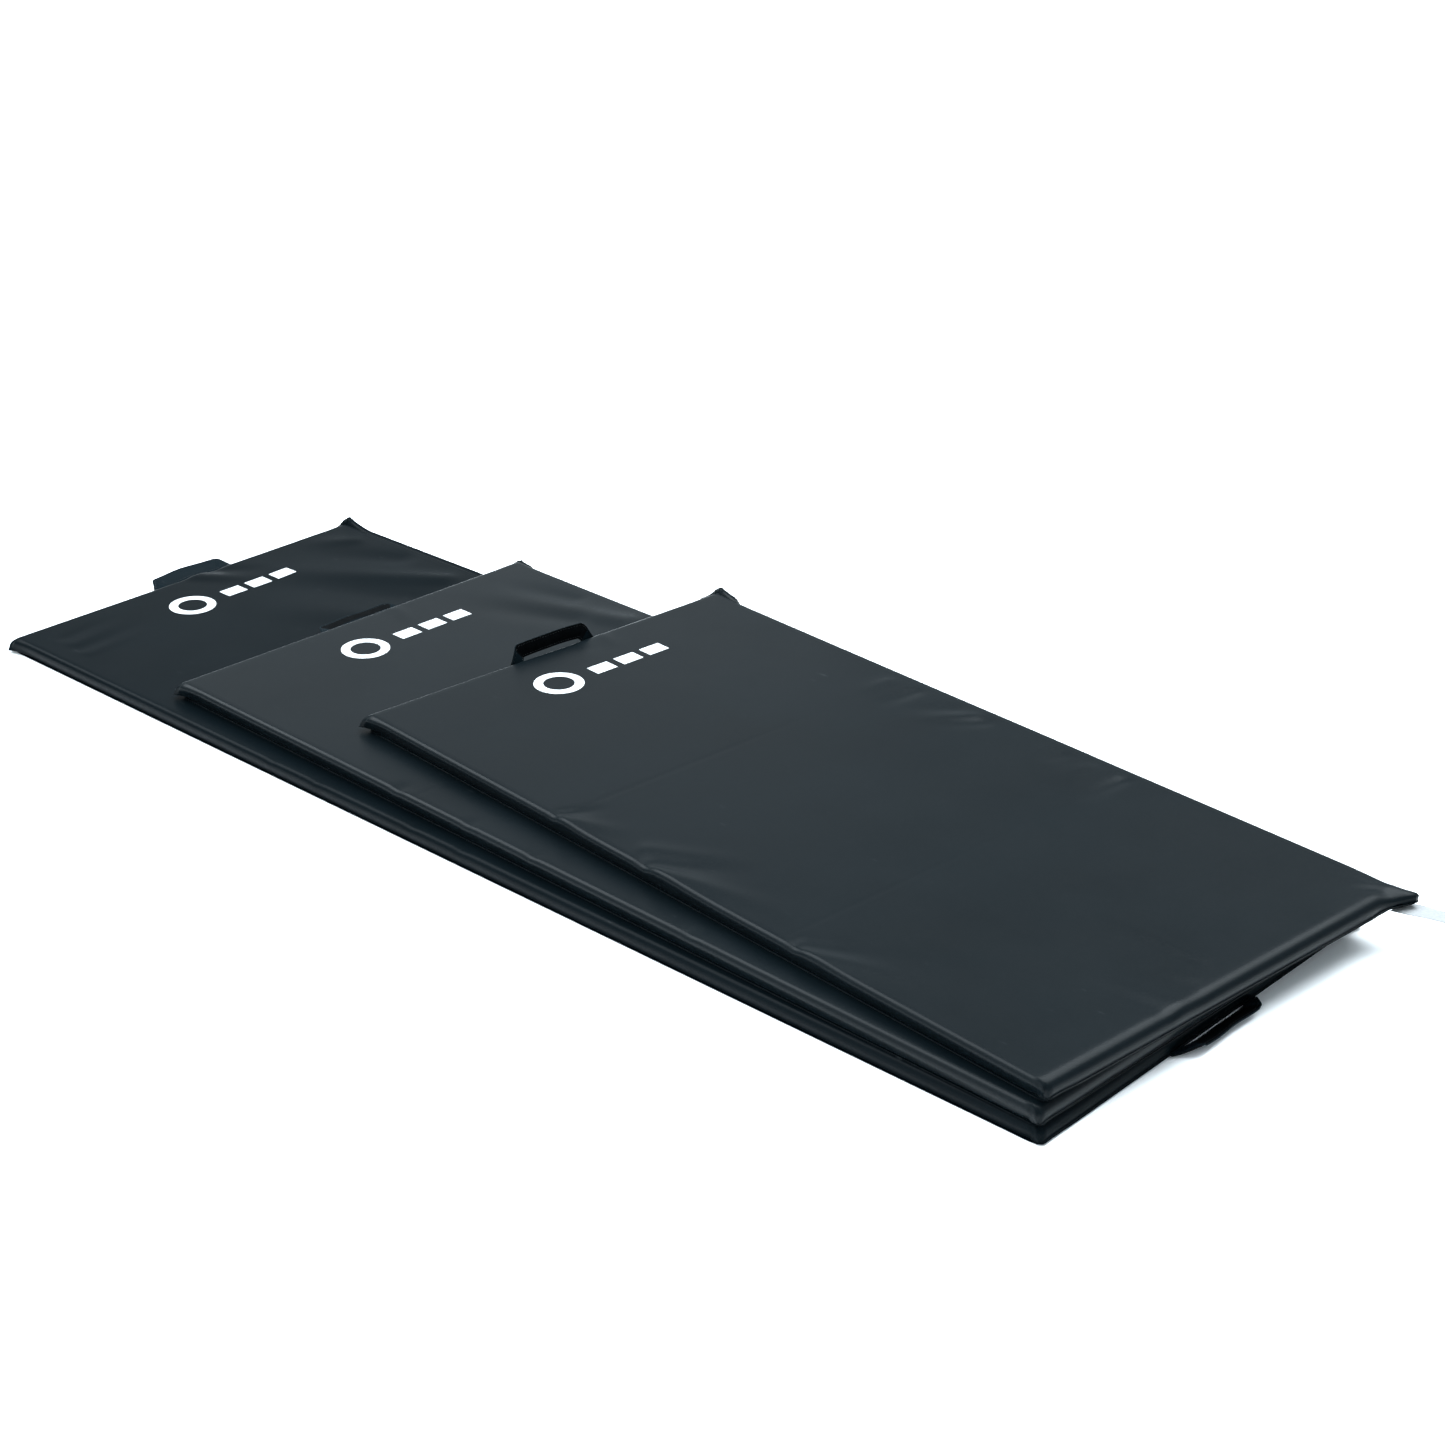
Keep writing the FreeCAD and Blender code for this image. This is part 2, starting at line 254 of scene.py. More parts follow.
class CoverGrid:
    """Rectangular grid of points whose outer rings run down the sides to the seam."""

    def __init__(self, mat):
        rings = len(RINGS)
        refine = [f - LEFT_RADIUS for f in mat.folds]
        flat_x = LEFT_RADIUS + spread(mat.length - LEFT_RADIUS - RIGHT_RADIUS, refine)
        flat_y = SIDE_RADIUS + spread(mat.width - 2 * SIDE_RADIUS, [])
        over_x, over_y = ring_numbers(len(flat_x)), ring_numbers(len(flat_y))
        flat_x = np.pad(flat_x, rings, mode="edge")
        flat_y = np.pad(flat_y, rings, mode="edge")
        self.mat = mat
        self.x, self.y = np.meshgrid(flat_x, flat_y, indexing="ij")
        self.end_radius = np.where(self.x < 0.5 * mat.length, LEFT_RADIUS, RIGHT_RADIUS)
        ox, oy = np.meshgrid(over_x, over_y, indexing="ij")
        self.ring = np.maximum(abs(ox), abs(oy)).astype(int)
        # direction outwards: along x at the ends, along y at the sides, turning at the corners
        low, high = np.minimum(abs(ox), abs(oy)), np.maximum(np.maximum(abs(ox), abs(oy)), 1)
        turn = np.where(abs(ox) >= abs(oy), low / high, 2.0 - low / high) * math.pi / 4.0
        turn = np.where((ox == 0) & (oy == 0), 0.0, turn)
        self.out_x, self.out_y = np.sign(ox) * np.cos(turn), np.sign(oy) * np.sin(turn)
        self.turn = turn
        self.corner = (abs(self.out_x) > 1e-9) & (abs(self.out_y) > 1e-9)
        self.ends = abs(self.out_x) / np.maximum(abs(self.out_x) + abs(self.out_y), 1e-9)

    def corner_distance(self, end, side, along_end, along_side):
        """Distance along the seam from the tip of an ear, in units of the lengths it runs along."""
        mat = self.mat
        from_end = (self.x if end == "left" else mat.length - self.x) - self.end_radius
        from_side = self.y - SIDE_RADIUS if side == "near" else mat.width - SIDE_RADIUS - self.y
        off = self.turn - ear_lean(along_end, along_side)
        arc = np.where(off > 0.0, self.end_radius / along_side, SIDE_RADIUS / along_end) * abs(off)
        return arc + from_end / along_side + from_side / along_end

    def seam(self, share):
        """Pull of the ears in plan, then height, rise and extra width of the seam's lip."""
        pull_x, pull_y = np.zeros_like(self.x), np.zeros_like(self.x)
        plain = SIDE_SEAM_HEIGHT + (SEAM_HEIGHT - SIDE_SEAM_HEIGHT) * self.ends
        height, lift = plain.copy(), np.zeros_like(self.x)
        flange = np.zeros_like(self.x)
        for (end, side, reach, corner_height, rise, along_end, along_side, full,
             lifted, stand) in EARS[self.mat.name]:
            away = self.corner_distance(end, side, along_end * MM, along_side * MM)
            ear = np.clip(1.0 - away, 0.0, 1.0) ** 1.7 * np.clip(share / full, 0.0, 1.0) ** 1.3
            lean = ear_lean(along_end, along_side)
            pull_x += (-1.0 if end == "left" else 1.0) * reach * MM * ear * math.cos(lean)
            pull_y += (-1.0 if side == "near" else 1.0) * reach * MM * ear * math.sin(lean)
            along = self.corner_distance(end, side, LIFT_REACH, lifted * MM)
            near = smooth(LIFT_PLATEAU * (1.0 - along))
            height += (corner_height * MM - plain) * near
            upright = stand * MM * near ** 0.7 * abs(self.out_y)
            lift += rise * MM * np.clip(1.0 - away, 0.0, 1.0) ** 1.5 + LIP_RISE * upright
            flange += upright
        return pull_x, pull_y, height, lift, flange

    def pleats(self):
        """Small radial folds that gather the cover at the corners."""
        total = np.zeros_like(self.x)
        for end, side, reach, *_ in EARS[self.mat.name]:
            away = self.corner_distance(end, side, PLEAT_REACH, PLEAT_REACH)
            fan = np.sin(13.0 * self.turn + 0.8 * reach) + 0.6 * np.sin(23.0 * self.turn + reach)
            total += np.where(self.corner, fan * smooth(1.0 - away), 0.0)
        return PLEAT_HEIGHT * total

    def pinch(self):
        """Upright fold where the cover is gathered at each corner, with a hollow at each side."""
        off = self.turn - math.pi / 4.0
        ridge, hollow = np.exp(-(off / 0.16) ** 2), np.exp(-((abs(off) - 0.42) / 0.2) ** 2)
        return np.where(self.corner, PINCH_RIDGE * ridge - PINCH_HOLLOW * hollow, 0.0)

    def place(self, flat_height, upper):
        """World points of the top (upper) or of the underside."""
        mat, ends = self.mat, self.ends
        out, drop, wall, lip = (RING_TABLE[self.ring, i] for i in range(4))
        height = self.seam(np.zeros_like(self.x))[2]
        radius = SIDE_RADIUS * abs(self.out_y) + self.end_radius * abs(self.out_x)
        if not upper:
            radius = np.full_like(self.x, BASE_RADIUS)
        seam_z = height + (0.5 if upper else -0.5) * LIP_THICKNESS * (1.0 - lip)
        edge = flat_height + (-1.0 if upper else 1.0) * drop * radius
        z = edge + (seam_z - edge) * wall
        share = np.clip((flat_height - z) / (flat_height - seam_z), 0.0, 1.0)
        pull_x, pull_y, _, lift, flange = self.seam(share)
        tuck = END_TUCK * ends + SIDE_TUCK * (1.0 - ends)
        stand = END_LIP * ends + SIDE_LIP * (1.0 - ends) + flange
        if upper:
            profile = BELLY * np.sin(math.pi * share ** 0.8) - tuck * smooth((share - 0.3) / 0.7)
            reach_x, reach_y = self.end_radius * out, SIDE_RADIUS * out
        else:
            profile = -(tuck + BASE_RECESS * (1.0 - lip)) * out
            reach_x = self.end_radius - BASE_RADIUS * (1.0 - out)
            reach_y = SIDE_RADIUS - BASE_RADIUS * (1.0 - out)
        beyond = profile + stand * lip
        x = self.x + self.out_x * (reach_x + beyond) + pull_x
        y = self.y + self.out_y * (reach_y + beyond) + pull_y
        z = z + lift * lip
        if upper:
            z = z + self.pleats() * share * (1.0 - 0.6 * lip)
            pinch = self.pinch() * np.sin(math.pi * np.clip(share, 0.0, 1.0)) ** 0.7
            x, y = x + pinch * self.out_x, y + pinch * self.out_y
        return mat.world(x, y, z)


def quads(ids):
    """Faces of a grid of vertex numbers."""
    return np.stack([ids[:-1, :-1], ids[1:, :-1], ids[1:, 1:], ids[:-1, 1:]], axis=-1).reshape(-1, 4)


def mesh_object(name, points, faces, flat_faces=0):
    """New object from points and faces. The first flat_faces faces have sharp edges."""
    mesh = bpy.data.meshes.new(name)
    mesh.from_pydata([tuple(p) for p in points], [], [tuple(int(i) for i in f) for f in faces])
    mesh.shade_smooth()
    for face in list(mesh.polygons)[:flat_faces]:
        face.use_smooth = False
        for corner in face.loop_indices:
            mesh.edges[mesh.loops[corner].edge_index].use_edge_sharp = True
    mesh.update()
    obj = bpy.data.objects.new(name, mesh)
    bpy.context.scene.collection.objects.link(obj)
    return obj


def cover_piece(name, grid, first, last):
    """Closed cover between two columns of the grid: top, underside and, where cut, a flat end."""
    flat_top = top_height(grid.mat, grid.x, grid.y)
    top = grid.place(flat_top, True)[first:last + 1]
    under = grid.place(np.zeros_like(grid.x), False)[first:last + 1]
    columns, rows = top.shape[:2]
    top_ids = np.arange(columns * rows).reshape(columns, rows)
    under_ids = top_ids + columns * rows
    under_ids[:, 0], under_ids[:, -1] = top_ids[:, 0], top_ids[:, -1]
    faces = []
    if first == 0:
        under_ids[0] = top_ids[0]
    if last == grid.x.shape[0] - 1:
        under_ids[-1] = top_ids[-1]
    if first > 0:
        faces.append(list(top_ids[0]) + list(under_ids[0, -2:0:-1]))
    if last < grid.x.shape[0] - 1:
        faces.append(list(under_ids[-1, 1:-1]) + list(top_ids[-1, ::-1]))
    caps = len(faces)
    faces += [list(f) for f in quads(top_ids)] + [list(f[::-1]) for f in quads(under_ids)]
    used = np.unique(np.concatenate([top_ids.ravel(), under_ids.ravel()]))
    renumber = np.full(2 * columns * rows, -1)
    renumber[used] = np.arange(len(used))
    points = np.concatenate([top.reshape(-1, 3), under.reshape(-1, 3)])[used]
    return mesh_object(name, points, [[renumber[i] for i in f] for f in faces], caps)


# ---- materials -----------------------------------------------------------------------------------
class Shader:
    """A node material with a short way to add and join nodes."""

    def __init__(self, name):
        self.material = bpy.data.materials.new(name)
        self.material.use_nodes = True
        self.nodes = self.material.node_tree.nodes
        self.links = self.material.node_tree.links
        self.surface = self.nodes["Principled BSDF"]
        self.place = self.node("ShaderNodeTexCoord").outputs["Object"]

    def node(self, kind, **settings):
        made = self.nodes.new(kind)
        for key, value in settings.items():
            setattr(made, key, value)
        return made

    def noise(self, scale, detail=3.0, rough=0.5, stretch=None):
        """Noise at so many cells a metre."""
        source = self.place
        if stretch:
            mapping = self.node("ShaderNodeMapping")
            mapping.inputs["Scale"].default_value = stretch
            self.links.new(source, mapping.inputs["Vector"])
            source = mapping.outputs["Vector"]
        made = self.node("ShaderNodeTexNoise")
        made.inputs["Scale"].default_value = scale
        made.inputs["Detail"].default_value = detail
        made.inputs["Roughness"].default_value = rough
        self.links.new(source, made.inputs["Vector"])
        return made.outputs["Fac"]

    def cells(self, scale):
        """Distance to the nearest cell centre, for pebbled grain."""
        made = self.node("ShaderNodeTexVoronoi")
        made.inputs["Scale"].default_value = scale
        self.links.new(self.place, made.inputs["Vector"])
        return made.outputs["Distance"]

    def ramp(self, value, low, high, start=0.0, stop=1.0):
        """Colour that runs from low to high as value runs from start to stop."""
        made = self.node("ShaderNodeValToRGB")
        made.color_ramp.elements[0].position, made.color_ramp.elements[1].position = start, stop
        made.color_ramp.elements[0].color = (*low, 1.0)
        made.color_ramp.elements[1].color = (*high, 1.0)
        self.links.new(value, made.inputs["Fac"])
        return made.outputs["Color"]

    def mix(self, share, color, other):
        """Colour with a share of another one in it."""
        made = self.node("ShaderNodeMixRGB")
        made.inputs["Color2"].default_value = (*other, 1.0)
        self.links.new(share, made.inputs["Fac"])
        self.links.new(color, made.inputs["Color1"])
        return made.outputs["Color"]

    def span(self, value, low, high):
        """Number that runs from low to high as value runs from 0.3 to 0.7."""
        made = self.node("ShaderNodeMapRange")
        made.inputs["From Min"].default_value, made.inputs["From Max"].default_value = 0.3, 0.7
        made.inputs["To Min"].default_value, made.inputs["To Max"].default_value = low, high
        self.links.new(value, made.inputs["Value"])
        return made.outputs["Result"]

    def bump(self, height, strength, distance, after=None):
        """Bump of that height in metres, added to another one."""
        made = self.node("ShaderNodeBump")
        made.inputs["Strength"].default_value = strength
        made.inputs["Distance"].default_value = distance
        self.links.new(height, made.inputs["Height"])
        if after:
            self.links.new(after, made.inputs["Normal"])
        return made.outputs["Normal"]

    def set(self, **values):
        """Constants and links on the surface shader, by input name with _ for a space."""
        for key, value in values.items():
            socket = self.surface.inputs[key.replace("_", " ")]
            if isinstance(value, bpy.types.NodeSocket):
                self.links.new(value, socket)
            else:
                socket.default_value = value
        return self.material


def vinyl(name, tone, sheen):
    """Matte black vinyl-coated cloth with a fine pebbled grain and a few pale scuffs."""
    s = Shader(name)
    dark, light = ((tone * r, tone * g, tone * b) for r, g, b in
                   ((0.0036, 0.0073, 0.0097), (0.0045, 0.0088, 0.0116)))
    color = s.ramp(s.noise(6.0, 4.0), dark, light, 0.35, 0.65)
    streaks = s.noise(26.0, 4.0, 0.6, (1.0, 7.0, 1.0))
    scuffs = s.ramp(streaks, (0.0, 0.0, 0.0), (1.0, 1.0, 1.0), 0.70, 0.80)
    color = s.mix(scuffs, color, (0.016, 0.019, 0.021))
    grain = s.bump(s.cells(1100.0), 0.22, 0.00012)
    normal = s.bump(s.noise(260.0, 4.0, 0.6), 0.10, 0.0004, grain)
    return s.set(Base_Color=color, Roughness=s.span(s.noise(9.0, 5.0, 0.6), 0.29, 0.35),
                 Normal=normal, Specular_IOR_Level=sheen)


def strap_cloth():
    """Black strap cloth with fine ribs across it."""
    s = Shader("strap_cloth")
    color = s.ramp(s.noise(90.0, 4.0), (0.0006, 0.0009, 0.0012), (0.0014, 0.0019, 0.0023), 0.3, 0.7)
    ribs = s.bump(s.noise(900.0, 2.0, 0.5, (1.0, 4.0, 1.0)), 0.35, 0.0003)
    return s.set(Base_Color=color, Roughness=s.span(s.noise(60.0), 0.5, 0.65), Normal=ribs,
                 Specular_IOR_Level=0.015)


def thread():
    """Black bonded sewing thread."""
    s = Shader("thread")
    color = s.ramp(s.noise(700.0), (0.006, 0.007, 0.008), (0.012, 0.014, 0.016))
    return s.set(Base_Color=color, Roughness=0.45, Specular_IOR_Level=0.15,
                 Normal=s.bump(s.noise(2500.0), 0.4, 0.0002))


def white_ink():
    """Screen-printed white ink, a little uneven."""
    s = Shader("white_ink")
    color = s.ramp(s.noise(120.0, 5.0, 0.65), (0.40, 0.41, 0.42), (0.50, 0.51, 0.52), 0.25, 0.55)
    return s.set(Base_Color=color, Roughness=s.span(s.noise(40.0), 0.42, 0.55),
                 Normal=s.bump(s.noise(900.0), 0.15, 0.0001))


def label_satin():
    """White woven label."""
    s = Shader("label_satin")
    color = s.ramp(s.noise(300.0), (0.20, 0.205, 0.21), (0.24, 0.245, 0.25), 0.3, 0.7)
    return s.set(Base_Color=color, Roughness=s.span(s.noise(80.0), 0.38, 0.5),
                 Normal=s.bump(s.noise(2200.0, 2.0, 0.5, (1.0, 5.0, 1.0)), 0.3, 0.0001))


def floor_paint():
    """Plain pale floor."""
    s = Shader("floor_paint")
    return s.set(Base_Color=(0.95, 0.955, 0.96, 1.0), Roughness=0.9, Specular_IOR_Level=0.1)


MATERIALS = {
    "vinyl_black": vinyl("vinyl", 0.43, 0.059),
    # vinyl_middle and vinyl_long are lit and shaded copies of the one vinyl: the middle mat's has a
    # little more sheen, a painted sheen for its brighter reflection towards the far end, and the long
    # mat's is a little darker with a third of the sheen, a painted shade for its duller look
    "vinyl_middle": vinyl("vinyl_middle", 0.43, 0.062),
    "vinyl_long": vinyl("vinyl_long", 0.40, 0.019),
    "strap_face": vinyl("strap_face", 0.8, 0.008),
    "webbing": strap_cloth(),
    "thread": thread(),
    "print_white": white_ink(),
    "label_white": label_satin(),
}


def finish_with(obj, slot_name, material=None):
    """Give a piece a material: the one given, else the one named by the record's slot."""
    obj.data.materials.clear()
    obj.data.materials.append(MATERIALS[material or slot_name])


# ---- covers --------------------------------------------------------------------------------------
def nodes_of(mat_name, *pieces):
    """CAD nodes of one mat whose names go on with one of the given pieces."""
    return [n for n in sorted(frame["nodes"])
            if any(n.startswith(f"{mat_name}_{p}") for p in pieces)]


def plain_cover(mat):
    """Cover of a mat that stays flat."""
    grid = CoverGrid(mat)
    cover = cover_piece(f"{mat.name}_cover", grid, 0, grid.x.shape[0] - 1)
    # the long and middle covers take their mat's lit or shaded copy of the vinyl: painted sheen on the
    # middle, painted shade on the long
    finish_with(cover, "vinyl_black", f"vinyl_{mat.name}")
    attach(cover, f"{mat.name}_mat")
    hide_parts(*nodes_of(mat.name, "top_skin", "base_skin", "seam_welt", "foam"))


def folding_cover(mat):
    """Cover of the mat that folds, in two pieces that meet in the middle of its centre panel."""
    grid = CoverGrid(mat)
    columns = grid.x.shape[0]
    middle = int(np.argmin(abs(grid.x[:, 0] - 0.5 * mat.length)))
    left_fold, right_fold = mat.folds
    # the panels of each half are in the order in which a half turn between them rolls outwards
    halves = (("left", 0, middle, ("left", "centre"), left_fold, (-FOLD_END, FOLD_START)),
              ("right", middle, columns - 1, ("right", "centre"), right_fold, (FOLD_START, -FOLD_END)))
    for side, first, last, panels, fold, reach in halves:
        piece = cover_piece(f"{mat.name}_cover_{side}", grid, first, last)
        finish_with(piece, "vinyl_black")
        start, end = (tuple(mat.world(fold + d, 0.5 * mat.width, mat.thickness)) for d in reach)
        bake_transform(piece)
        replaced = [f"{part}_{side}" for part in ("top_skin", "base_skin", "seam_welt", "foam")]
        if side == "right":
            replaced += [f"{part}_centre" for part in ("top_skin", "base_skin", "seam_welt", "foam")]
        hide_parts(*nodes_of(mat.name, *replaced))


plain_cover(MATS["long"])
plain_cover(MATS["middle"])
folding_cover(MATS["short"])


# ---- carrying straps -----------------------------------------------------------------------------
STRAP_BAND = 21.0 * MM         # band width that the rims and the stitching are set out for
STRAP_THICKNESS = 1.8 * MM
STRAP_RIM = 0.35 * MM          # how much thicker the turned-over edges are
STRAP_RIM_WIDTH = 1.6 * MM
STRAP_ROOT = 3.2 * MM          # how far the strap's feet reach back into the seam
STRAP_TAPER = 24.0 * MM        # how much nearer the middle the strap's shoulder is than its foot
STRAP_LEG = 0.17               # length of each leg as a share of the strap's
STRAP_LEG_BLEND = 0.03         # share over which a leg passes into the band
STRAP_HELD = 10.0 * MM         # reach over which the strap comes free of the seam
STRAP_FOLD = 0.9 * MM          # step where the strap is folded over at its shoulder
STRAP_LEG_WAVE = 1.4 * MM      # rise and fall of each leg
STRAP_WAVE = 0.6 * MM          # rise and fall of the whole strap
STRAP_CUP = 1.1 * MM           # how far the band's edges bend down
STITCH_LENGTH, STITCH_GAP, STITCH_RADIUS = 3.0 * MM, 1.4 * MM, 0.30 * MM
STITCH_INSET = 3.0 * MM        # from the strap's edge
STITCH_START = 5.0 * MM        # from the strap's first foot to the first stitch
STITCH_STOP = 8.0 * MM         # from the last stitch to the other foot


def outline(corners, radii, counts, arc_steps=6):
    """Points along straight runs joined by arcs, the same number for the same counts."""
    points, here = [], np.array(corners[0], float)
    for before, corner, after, radius, count in zip(corners, corners[1:], corners[2:], radii, counts):
        corner = np.array(corner, float)
        u = np.subtract(before, corner) / np.hypot(*np.subtract(before, corner))
        w = np.subtract(after, corner) / np.hypot(*np.subtract(after, corner))
        half = 0.5 * math.acos(np.clip(u @ w, -1.0, 1.0))
        back = radius / math.tan(half)
        centre = corner + (u + w) / np.hypot(*(u + w)) * radius / math.sin(half)
        start, stop = corner + u * back - centre, corner + w * back - centre
        points += list(np.linspace(here, centre + start, count, endpoint=False))
        for t in np.linspace(0.0, 1.0, arc_steps, endpoint=False):
            swing = start * (1.0 - t) + stop * t
            points.append(centre + swing / np.hypot(*swing) * radius)
        here = centre + stop
    points += list(np.linspace(here, corners[-1], counts[-1] + 1))
    return np.array(points)


class Strap:
    """A carrying strap's own frame: reach outwards from the seam, y along it, rise off its plane."""

    def __init__(self, mat, node, joint_name, tilt, bow, band):
        turn = joint(joint_name)
        points = np.array([v.co for v in frame["nodes"][node].data.vertices])
        self.axis_point, self.y_axis = np.array(turn["pos_m"]), np.array(turn["axis"])
        self.level = -np.cross(self.y_axis, (0.0, 0.0, 1.0))
        tilt = math.radians(tilt)
        self.out = self.level * math.cos(tilt) + np.array((0.0, 0.0, math.sin(tilt)))
        self.up = -self.level * math.sin(tilt) + np.array((0.0, 0.0, math.cos(tilt)))
        half = np.ptp((points - self.axis_point) @ self.y_axis) / 2.0
        reach = ((points - self.axis_point) @ self.out).max()
        self.mat, self.node, self.bow, self.band = mat, node, bow * MM, band * MM
        counts = (2, 12, 44, 12, 2)
        self.outer = self.side(half, half - STRAP_TAPER, reach, (1.0, 7.0, 9.0, 1.0), counts)
        tight = reach < 1.2 * self.band
        self.inner = self.side(half - self.band, half - 0.5 * self.band - STRAP_TAPER, reach - self.band,
                               (0.6, 0.6, 0.6, 0.6) if tight else (1.0, 2.5, 3.0, 1.0), counts)
        middle = 0.5 * (self.outer + self.inner)
        self.at = np.concatenate([[0.0], np.cumsum(np.hypot(*np.diff(middle, axis=0).T))])

    def side(self, foot, shoulder, reach, radii, counts):
        """One edge of the strap, from one foot to the other."""
        corners = [(-STRAP_ROOT, -foot), (0.0, -foot), (reach, -shoulder), (reach, shoulder),
                   (0.0, foot), (-STRAP_ROOT, foot)]
        return outline(corners, [r * MM for r in radii], counts)

    def world(self, reach, across, rise):
        """Row-frame points. Behind the seam line the strap lies level, where the seam holds it."""
        reach, across, rise = (np.asarray(v, float)[..., None] for v in (reach, across, rise))
        ahead, behind = np.maximum(reach, 0.0), np.minimum(reach, 0.0)
        return (self.axis_point + ahead * self.out + behind * self.level
                + across * self.y_axis + rise * self.up)

    def surface(self, share, height):
        """Points across the strap, -1 at its inner and 1 at its outer edge, and off its plane."""
        middle = 0.5 * (self.outer + self.inner)[:, None, :]
        half = 0.5 * (self.outer - self.inner)[:, None, :]
        spot = middle + np.asarray(share)[None, :, None] * half
        run = (self.at / self.at[-1])[:, None]
        leg = smooth(1.0 - (np.minimum(run, 1.0 - run) - STRAP_LEG) / STRAP_LEG_BLEND)
        free = smooth(spot[..., 0] / STRAP_HELD)
        reach = spot[..., 0] + self.bow * free * np.sin(math.pi * run) ** 2
        rise = free * (STRAP_FOLD * leg + STRAP_LEG_WAVE * leg * np.sin(math.pi * run / STRAP_LEG)
                       + STRAP_WAVE * np.sin(5.0 * math.pi * run + 0.7)
                       - STRAP_CUP * np.asarray(share)[None, :] ** 2 * (1.0 - leg))
        return self.world(reach, spot[..., 1], rise + np.asarray(height)[None, :])


def strap_section():
    """Points round the strap's cross-section: share across it and height off its plane."""
    rim = 1.0 - 2.0 * STRAP_RIM_WIDTH / STRAP_BAND
    thin, thick = 0.5 * STRAP_THICKNESS, 0.5 * STRAP_THICKNESS + STRAP_RIM
    inside = np.linspace(-rim + 0.04, rim - 0.04, 7)
    face = ([(-0.985, 0.6 * thick), (-0.95, thick), (-rim - 0.02, thick)]
            + [(s, thin) for s in inside]
            + [(rim + 0.02, thick), (0.95, thick), (0.985, 0.6 * thick), (1.0, 0.0)])
    back = [(-s, -h) for s, h in face]
    return np.array(face + back)


def tube(rings):
    """Closed faces round a series of equal rings of vertices, capped at both ends."""
    count, around = rings.shape[:2]
    ids = np.arange(count * around).reshape(count, around)
    wrapped = np.concatenate([ids, ids[:, :1]], axis=1)
    return [list(ids[0]), list(ids[-1][::-1])] + [list(f) for f in quads(wrapped)]


def make_strap(strap, side_name, upper_face):
    """The strap and its stitches, bending at the seam.

    Its cover-cloth face is up on its legs, and on its band where upper_face is cover. A piped
    band shows webbing between rims of cover cloth.
    """
    section = strap_section()
    rings = strap.surface(section[:, 0], section[:, 1])
    band = mesh_object(f"{strap.mat.name}_{side_name}_strap", rings.reshape(-1, 3), tube(rings), 2)
    finish_with(band, "webbing")
    band.data.materials.append(MATERIALS["strap_face"])
    run = strap.at / strap.at[-1]
    for face in band.data.polygons:
        ring, spot = divmod(max(0, face.index - 2), len(section))
        on_leg = min(run[ring], 1.0 - run[ring]) < STRAP_LEG
        on_top = face.normal.dot(Vector(strap.up)) > 0.3
        on_rim = upper_face == "piped" and abs(section[spot][0]) > 0.8
        face.material_index = int(on_rim or on_top == (on_leg or upper_face == "cover"))
    stitches = stitch_rows(strap, f"{strap.mat.name}_{side_name}_strap_stitches")
    finish_with(stitches, "webbing", "thread")
    start = tuple(strap.world(-STRAP_ROOT, 0.0, 0.0))
    end = tuple(strap.world(3.0 * MM, 0.0, 0.0))
    for piece in (band, stitches):
        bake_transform(piece)
    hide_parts(strap.node, f"{strap.node}_tabs")


def stitch_rows(strap, name):
    """Dashes of thread along both edges of the strap, on both faces."""
    points, faces = [], []
    row = 1.0 - 2.0 * STITCH_INSET / STRAP_BAND
    starts = np.arange(STITCH_START, strap.at[-1] - STITCH_STOP, STITCH_LENGTH + STITCH_GAP)
    ring = [(STITCH_RADIUS * math.cos(t), STITCH_RADIUS * math.sin(t))
            for t in np.linspace(0.0, 2 * math.pi, 7)[:-1]]
    for side in (-1.0, 1.0):
        for face in (-1.0, 1.0):
            share = side * row + np.array([p[0] for p in ring]) * 2.0 / STRAP_BAND
            height = face * 0.5 * STRAP_THICKNESS + np.array([p[1] for p in ring])
            whole = strap.surface(share, height)
            for start in starts:
                spots = start + np.array([0.0, 0.5, 1.0]) * STITCH_LENGTH
                cut = np.stack([[np.interp(spots, strap.at, whole[:, k, c]) for c in range(3)]
                                for k in range(len(ring))])
                rings = cut.transpose(2, 0, 1).copy()
                for tip in (0, 2):
                    centre = rings[tip].mean(axis=0)
                    rings[tip] = centre + 0.35 * (rings[tip] - centre)
                faces += [[len(points) + i for i in f] for f in tube(rings)]
                points += list(rings.reshape(-1, 3))
    return mesh_object(name, points, faces)


def strap_tilt(node, joint_name):
    """Angle above the level at which a strap rests, from its CAD solid."""
    turn = joint(joint_name)
    outwards = -np.cross(turn["axis"], (0.0, 0.0, 1.0))
    points = np.array([v.co for v in frame["nodes"][node].data.vertices]) - np.array(turn["pos_m"])
    far = points[np.argmax(np.hypot(points @ outwards, points[:, 2]))]
    middle = points[np.hypot(points @ outwards, points[:, 2]) > 0.9 * np.hypot(far @ outwards, far[2])]
    return math.degrees(math.atan2(middle[:, 2].mean(), (middle @ outwards).mean()))


# mat, end, body that holds it, bow of its outer edge, width of its band, degrees that the cloth
# stands above the CAD solid, what its band shows on top
STRAPS = [("long", "left", "long_mat", 5.0, 26.0, 0.0, "cover"),
          ("long", "right", "long_mat", -1.5, 23.0, 10.0, "webbing"),
          ("middle", "left", "middle_mat", 1.0, 21.0, 3.0, "piped"),
          ("short", "left", "short_mat_left_panel", 2.5, 21.0, 0.0, "webbing")]
for mat_name, end_name, holder, bow, band_width, lifted, upper_face in STRAPS:
    node_name = f"{mat_name}_{end_name}_handle"
    swing = f"{mat_name}_{end_name}_strap_swing"
    carrying = Strap(MATS[mat_name], node_name, swing, strap_tilt(node_name, swing) + lifted, bow,
                     band_width)
    make_strap(carrying, end_name, upper_face)


# ---- print ---------------------------------------------------------------------------------------
INK = 0.18 * MM                # thickness above the cover
RING_HOLE = 0.62               # the ring's inner radius as a share of its outer one


